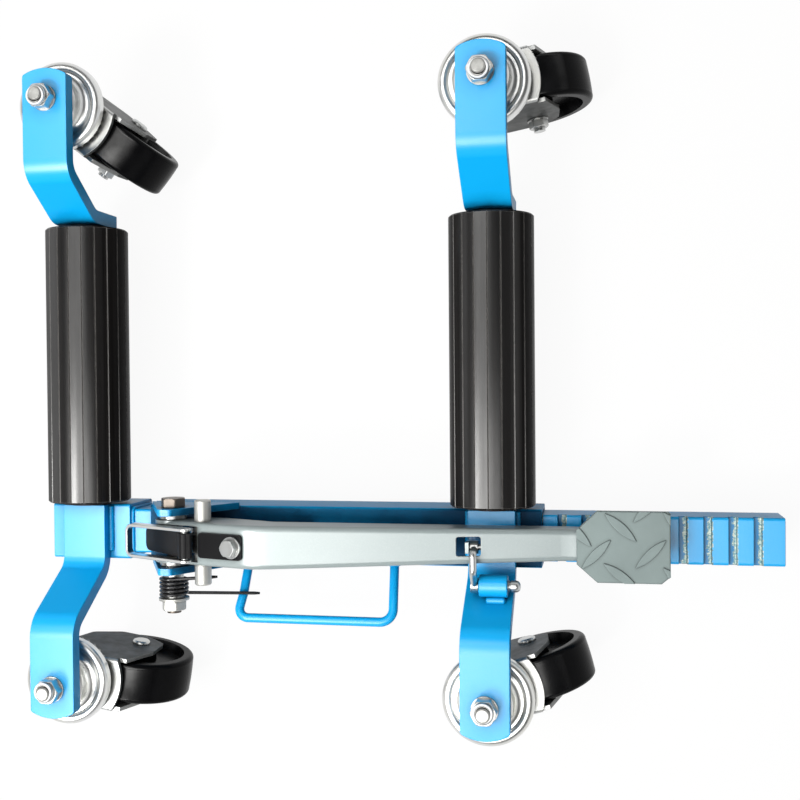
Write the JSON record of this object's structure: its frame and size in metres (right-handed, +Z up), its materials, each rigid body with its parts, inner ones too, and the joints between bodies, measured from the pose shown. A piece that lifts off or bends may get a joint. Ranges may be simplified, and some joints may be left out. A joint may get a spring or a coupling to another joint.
{
  "type": "vehicle positioning dolly",
  "caption": "Blue steel wheel dolly on swivel casters: a foot-pedal ratchet draws two cross rollers together under a tyre to lift and roll it.",
  "frame": {"origin": "on the floor, at the middle of the whole outline", "axes": "+X along the beam towards the pedal's tread plate, +Y across the beam towards the rollers' free ends, +Z up"},
  "size_m": [0.6479, 0.5808, 0.164],
  "materials": {
    "frame_blue": "bright blue powder coat, satin",
    "pedal_grey": "green-grey metallic coat, satin",
    "bare_steel": "machined",
    "zinc": "bright zinc plate",
    "black_steel": "black oxide, satin",
    "roller_black": "dark satin coat",
    "nylon": "moulded",
    "wheel_black": "moulded, semi-gloss"
  },
  "bodies": {
    "frame": {"outer_tube": "frame_blue", "pivot_cheeks": "frame_blue", "right_axle": "bare_steel", "right_upper_arm": "frame_blue", "right_lower_arm": "frame_blue", "carry_handle": "frame_blue", "latch_barrel": "frame_blue", "pivot_bolt": "zinc", "pivot_nut": "zinc", "pivot_washers": "zinc", "spring_sleeve": "zinc", "return_spring": "black_steel", "holding_pawl_pin": "zinc", "right_kingpins": "zinc", "right_kingpin_nuts": "zinc", "right_caster_races": "zinc", "right_roller_washers": "bare_steel"},
    "rack": {"rack_bar": "frame_blue", "left_end_block": "frame_blue", "left_axle": "bare_steel", "left_upper_arm": "frame_blue", "left_lower_arm": "frame_blue", "left_kingpins": "zinc", "left_kingpin_nuts": "zinc", "left_caster_races": "zinc", "left_roller_washers": "bare_steel"},
    "left_roller_body": {"left_roller": "roller_black", "left_roller_bushes": "nylon"},
    "right_roller_body": {"right_roller": "roller_black", "right_roller_bushes": "nylon"},
    "pedal": {"pedal_lever": "pedal_grey", "pedal_pad": "pedal_grey", "leaf_strip": "black_steel", "leaf_bolt": "zinc", "latch_hinge_pin": "zinc"},
    "drive_pin": {"cross_pin": "zinc"},
    "drive_pawl_body": {"drive_pawl": "bare_steel"},
    "holding_pawl_body": {"holding_pawl": "bare_steel"},
    "release": {"release_treadle": "black_steel", "release_bail": "zinc", "release_rivet": "zinc"},
    "latch_rod_body": {"latch_rod": "zinc"},
    "latch_plunger_body": {"latch_plunger": "zinc"},
    "upper_left_caster": {"upper_left_fork": "zinc", "upper_left_wheel_axle": "zinc"},
    "upper_left_wheel_body": {"upper_left_wheel": "wheel_black", "upper_left_wheel_bush": "bare_steel"},
    "upper_right_caster": {"upper_right_fork": "zinc", "upper_right_wheel_axle": "zinc"},
    "upper_right_wheel_body": {"upper_right_wheel": "wheel_black", "upper_right_wheel_bush": "bare_steel"},
    "lower_left_caster": {"lower_left_fork": "zinc", "lower_left_wheel_axle": "zinc"},
    "lower_left_wheel_body": {"lower_left_wheel": "wheel_black", "lower_left_wheel_bush": "bare_steel"},
    "lower_right_caster": {"lower_right_fork": "zinc", "lower_right_wheel_axle": "zinc"},
    "lower_right_wheel_body": {"lower_right_wheel": "wheel_black", "lower_right_wheel_bush": "bare_steel"}
  },
  "joints": [
    {"name": "rack_slide", "type": "slide", "parent": "frame", "child": "rack", "axis": [1, 0, 0], "range_m": [-0.18, 0]},
    {"name": "left_roller_spin", "type": "hinge", "parent": "rack", "child": "left_roller_body", "pos_m": [-0.286, 0.02542, 0.072], "axis": [0, 1, 0], "continuous": true},
    {"name": "right_roller_spin", "type": "hinge", "parent": "frame", "child": "right_roller_body", "pos_m": [0.0845, 0.02542, 0.072], "axis": [0, 1, 0], "continuous": true},
    {"name": "pedal_swing", "type": "hinge", "parent": "frame", "child": "pedal", "pos_m": [-0.1875, -0.12458, 0.115], "axis": [0, -1, 0], "range_deg": [0, 40], "deforming": ["return_spring"]},
    {"name": "drive_pin_turn", "type": "hinge", "parent": "pedal", "child": "drive_pin", "pos_m": [-0.1558, -0.12458, 0.128], "axis": [0, -1, 0], "range_deg": [-54, 0]},
    {"name": "drive_pawl_lift", "type": "hinge", "parent": "drive_pin", "child": "drive_pawl_body", "pos_m": [-0.1558, -0.12458, 0.128], "axis": [0, -1, 0], "range_deg": [-2.1, 20]},
    {"name": "holding_pawl_lift", "type": "hinge", "parent": "frame", "child": "holding_pawl_body", "pos_m": [-0.172, -0.12458, 0.092], "axis": [0, -1, 0], "range_deg": [-4.6, 20]},
    {"name": "release_press", "type": "hinge", "parent": "pedal", "child": "release", "pos_m": [-0.1875, -0.12458, 0.115], "axis": [0, -1, 0], "range_deg": [0, 15], "stiffness_Nm_per_rad": 1.2, "springref_deg": -5.73},
    {"name": "latch_rod_swing", "type": "hinge", "parent": "pedal", "child": "latch_rod_body", "pos_m": [0.0734, -0.12608, 0.11364], "axis": [-1, 0, 0], "range_deg": [0, 45]},
    {"name": "latch_plunger_slide", "type": "slide", "parent": "frame", "child": "latch_plunger_body", "axis": [1, 0, 0], "range_m": [-0.009, 0]},
    {"name": "upper_left_swivel", "type": "hinge", "parent": "rack", "child": "upper_left_caster", "pos_m": [-0.286, 0.25242, 0.11], "axis": [0, 0, 1], "continuous": true},
    {"name": "upper_left_wheel_spin", "type": "hinge", "parent": "upper_left_caster", "child": "upper_left_wheel_body", "pos_m": [-0.2588, 0.23039, 0.05], "axis": [0.6293, 0.7771, 0], "continuous": true},
    {"name": "upper_right_swivel", "type": "hinge", "parent": "frame", "child": "upper_right_caster", "pos_m": [0.0845, 0.25242, 0.11], "axis": [0, 0, 1], "continuous": true},
    {"name": "upper_right_wheel_spin", "type": "hinge", "parent": "upper_right_caster", "child": "upper_right_wheel_body", "pos_m": [0.11891, 0.25879, 0.05], "axis": [-0.1822, 0.9833, 0], "continuous": true},
    {"name": "lower_left_swivel", "type": "hinge", "parent": "rack", "child": "lower_left_caster", "pos_m": [-0.286, -0.25008, 0.11], "axis": [0, 0, 1], "continuous": true},
    {"name": "lower_left_wheel_spin", "type": "hinge", "parent": "lower_left_caster", "child": "lower_left_wheel_body", "pos_m": [-0.25143, -0.25556, 0.05], "axis": [0.1564, 0.9877, 0], "continuous": true},
    {"name": "lower_right_swivel", "type": "hinge", "parent": "frame", "child": "lower_right_caster", "pos_m": [0.0845, -0.25008, 0.11], "axis": [0, 0, 1], "continuous": true},
    {"name": "lower_right_wheel_spin", "type": "hinge", "parent": "lower_right_caster", "child": "lower_right_wheel_body", "pos_m": [0.11806, -0.24014, 0.05], "axis": [-0.284, 0.9588, 0], "continuous": true}
  ],
  "couplings": [
    {"joint": "drive_pin_turn", "follows": "pedal_swing", "ratio": -1.335}
  ]
}
